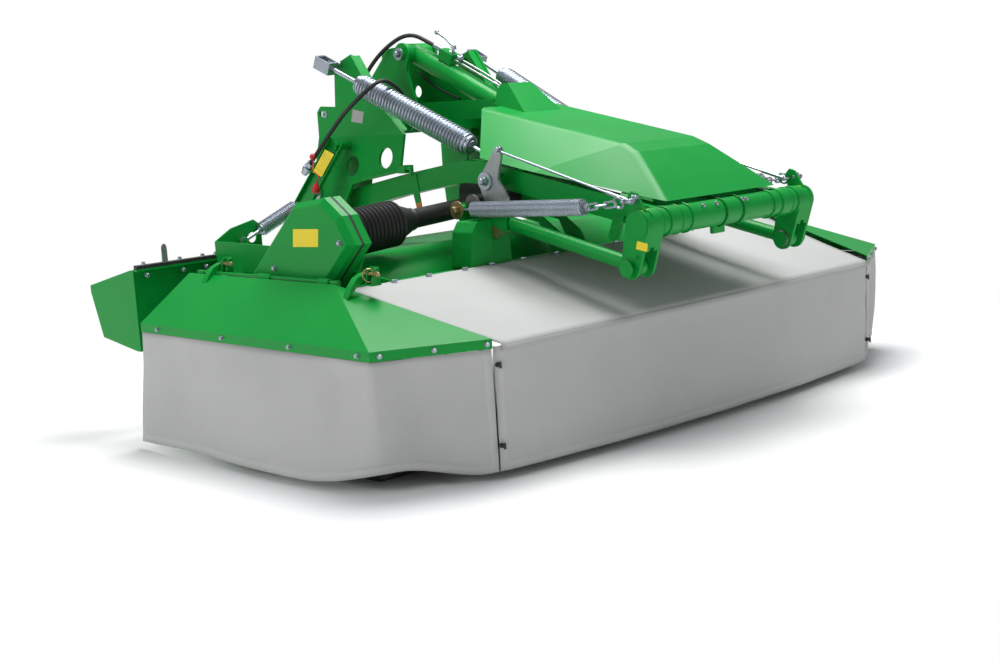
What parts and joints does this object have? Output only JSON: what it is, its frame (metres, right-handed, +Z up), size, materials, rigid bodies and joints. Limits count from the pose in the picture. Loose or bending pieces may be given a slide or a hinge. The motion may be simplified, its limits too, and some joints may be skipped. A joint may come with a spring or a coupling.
{
  "type": "disc mower conditioner",
  "caption": "Front-mounted disc mower with tined conditioner, canvas guards, hinged side covers, spring relief and a headstock for three-point linkage.",
  "frame": {"origin": "centre of the bounding box on the ground", "axes": "+X to the left and +Y to the rear as the tractor's driver sees the machine; +Z up"},
  "size_m": [3.082, 2.296, 1.5542],
  "materials": {
    "green_paint": "gloss",
    "dark_paint": "satin",
    "grey_canvas": "coated canvas",
    "disc_steel": "satin",
    "zinc_plate": "zinc plated",
    "chromed_rod": "polished",
    "black_rubber": "matt",
    "black_plastic": "matt"
  },
  "bodies": {
    "cutting_unit": {"belt_backing": "green_paint", "belt_cover": "green_paint", "belt_seal": "black_rubber", "canvas_frame": "green_paint", "carrier_beams": "green_paint", "centre_gearbox": "dark_paint", "conditioner_housing": "green_paint", "cross_member": "green_paint", "cross_tube": "green_paint", "cutter_bar": "dark_paint", "damper_brackets": "green_paint", "drive_towers": "green_paint", "driveshaft_guard": "black_plastic", "front_skirt": "grey_canvas", "hanger_arms": "green_paint", "hood": "green_paint", "hood_brackets": "green_paint", "leg_pins": "zinc_plate", "lift_levers": "zinc_plate", "main_beam": "green_paint", "side_frames": "green_paint", "skids": "dark_paint", "spring_chains": "zinc_plate", "swath_brackets": "green_paint", "tension_springs": "zinc_plate", "tie_rods": "green_paint", "top_canvas": "grey_canvas", "wire_ropes": "zinc_plate"},
    "headstock": {"headstock": "green_paint", "hitch_pins": "zinc_plate", "cylinder_cheeks": "green_paint", "damper_arms": "green_paint", "spring_tensioners": "zinc_plate", "relief_springs": "zinc_plate", "damper_springs": "zinc_plate", "hydraulic_hose": "black_rubber", "hose_coupler": "zinc_plate"},
    "cylinder_barrel": {"cylinder_barrel": "green_paint", "ball_valve": "green_paint", "pressure_pipe": "zinc_plate"},
    "cylinder_rod": {"cylinder_rod": "chromed_rod"},
    "conditioner_rotor": {"conditioner_rotor": "dark_paint", "rotor_tines": "dark_paint"},
    "side_cover_right": {"side_cover_right": "green_paint", "side_skirt_right": "grey_canvas"},
    "side_cover_left": {"side_cover_left": "green_paint", "side_skirt_left": "grey_canvas"},
    "swath_board_right": {"swath_board_right": "green_paint"},
    "swath_board_left": {"swath_board_left": "green_paint"},
    "parking_leg_right": {"parking_leg_right": "green_paint"},
    "parking_leg_left": {"parking_leg_left": "green_paint"},
    "disc_1": {"disc_1": "disc_steel"},
    "disc_2": {"disc_2": "disc_steel"},
    "disc_3": {"disc_3": "disc_steel"},
    "disc_4": {"disc_4": "disc_steel"},
    "disc_5": {"disc_5": "disc_steel"},
    "disc_6": {"disc_6": "disc_steel"},
    "disc_7": {"disc_7": "disc_steel"}
  },
  "joints": [
    {"name": "disc_1_spin", "type": "hinge", "parent": "cutting_unit", "child": "disc_1", "pos_m": [-1.215, -0.65, 0.096], "axis": [0, 0, 1], "continuous": true},
    {"name": "disc_2_spin", "type": "hinge", "parent": "cutting_unit", "child": "disc_2", "pos_m": [-0.81, -0.65, 0.096], "axis": [0, 0, 1], "continuous": true},
    {"name": "disc_3_spin", "type": "hinge", "parent": "cutting_unit", "child": "disc_3", "pos_m": [-0.405, -0.65, 0.096], "axis": [0, 0, 1], "continuous": true},
    {"name": "disc_4_spin", "type": "hinge", "parent": "cutting_unit", "child": "disc_4", "pos_m": [0, -0.65, 0.096], "axis": [0, 0, 1], "continuous": true},
    {"name": "disc_5_spin", "type": "hinge", "parent": "cutting_unit", "child": "disc_5", "pos_m": [0.405, -0.65, 0.096], "axis": [0, 0, 1], "continuous": true},
    {"name": "disc_6_spin", "type": "hinge", "parent": "cutting_unit", "child": "disc_6", "pos_m": [0.81, -0.65, 0.096], "axis": [0, 0, 1], "continuous": true},
    {"name": "disc_7_spin", "type": "hinge", "parent": "cutting_unit", "child": "disc_7", "pos_m": [1.215, -0.65, 0.096], "axis": [0, 0, 1], "continuous": true},
    {"name": "rotor_spin", "type": "hinge", "parent": "cutting_unit", "child": "conditioner_rotor", "pos_m": [0, 0.03, 0.43], "axis": [1, 0, 0], "continuous": true},
    {"name": "side_cover_right_hinge", "type": "hinge", "parent": "cutting_unit", "child": "side_cover_right", "pos_m": [-1.244, 0.1, 0.655], "axis": [0, 1, 0], "range_deg": [0, 90]},
    {"name": "swath_board_right_hinge", "type": "hinge", "parent": "cutting_unit", "child": "swath_board_right", "pos_m": [-0.93, 0.785, 0.5], "axis": [0, 0, -1], "range_deg": [0, 50]},
    {"name": "parking_leg_right_hinge", "type": "hinge", "parent": "cutting_unit", "child": "parking_leg_right", "pos_m": [-1.079, 0.45, 0.29], "axis": [1, 0, 0], "range_deg": [0, 90]},
    {"name": "side_cover_left_hinge", "type": "hinge", "parent": "cutting_unit", "child": "side_cover_left", "pos_m": [1.244, 0.1, 0.655], "axis": [0, -1, 0], "range_deg": [0, 90]},
    {"name": "swath_board_left_hinge", "type": "hinge", "parent": "cutting_unit", "child": "swath_board_left", "pos_m": [0.93, 0.785, 0.5], "axis": [0, 0, 1], "range_deg": [0, 50]},
    {"name": "parking_leg_left_hinge", "type": "hinge", "parent": "cutting_unit", "child": "parking_leg_left", "pos_m": [1.079, 0.45, 0.29], "axis": [1, 0, 0], "range_deg": [0, 90]},
    {"name": "headstock_lift", "type": "hinge", "parent": "cutting_unit", "child": "headstock", "pos_m": [0, 0.69, 0.8], "axis": [1, 0, 0], "range_deg": [-5, 10], "deforming": ["relief_springs", "damper_springs"]},
    {"name": "cylinder_swing", "type": "hinge", "parent": "headstock", "child": "cylinder_barrel", "pos_m": [0, 0.575, 1.465], "axis": [1, 0, 0], "range_deg": [-9.1, 4.6], "deforming": ["hydraulic_hose"]},
    {"name": "cylinder_stroke", "type": "slide", "parent": "cylinder_barrel", "child": "cylinder_rod", "axis": [0, -0.9086, -0.4177], "range_m": [-0.1165, 0.0585]}
  ],
  "couplings": [
    {"joint": "disc_2_spin", "follows": "disc_1_spin", "ratio": -1},
    {"joint": "disc_3_spin", "follows": "disc_1_spin", "ratio": 1},
    {"joint": "disc_4_spin", "follows": "disc_1_spin", "ratio": -1},
    {"joint": "disc_5_spin", "follows": "disc_1_spin", "ratio": 1},
    {"joint": "disc_6_spin", "follows": "disc_1_spin", "ratio": -1},
    {"joint": "disc_7_spin", "follows": "disc_1_spin", "ratio": 1},
    {"joint": "cylinder_swing", "follows": "headstock_lift", "ratio": -0.9},
    {"joint": "cylinder_stroke", "follows": "headstock_lift", "m_per_rad": -0.66}
  ]
}
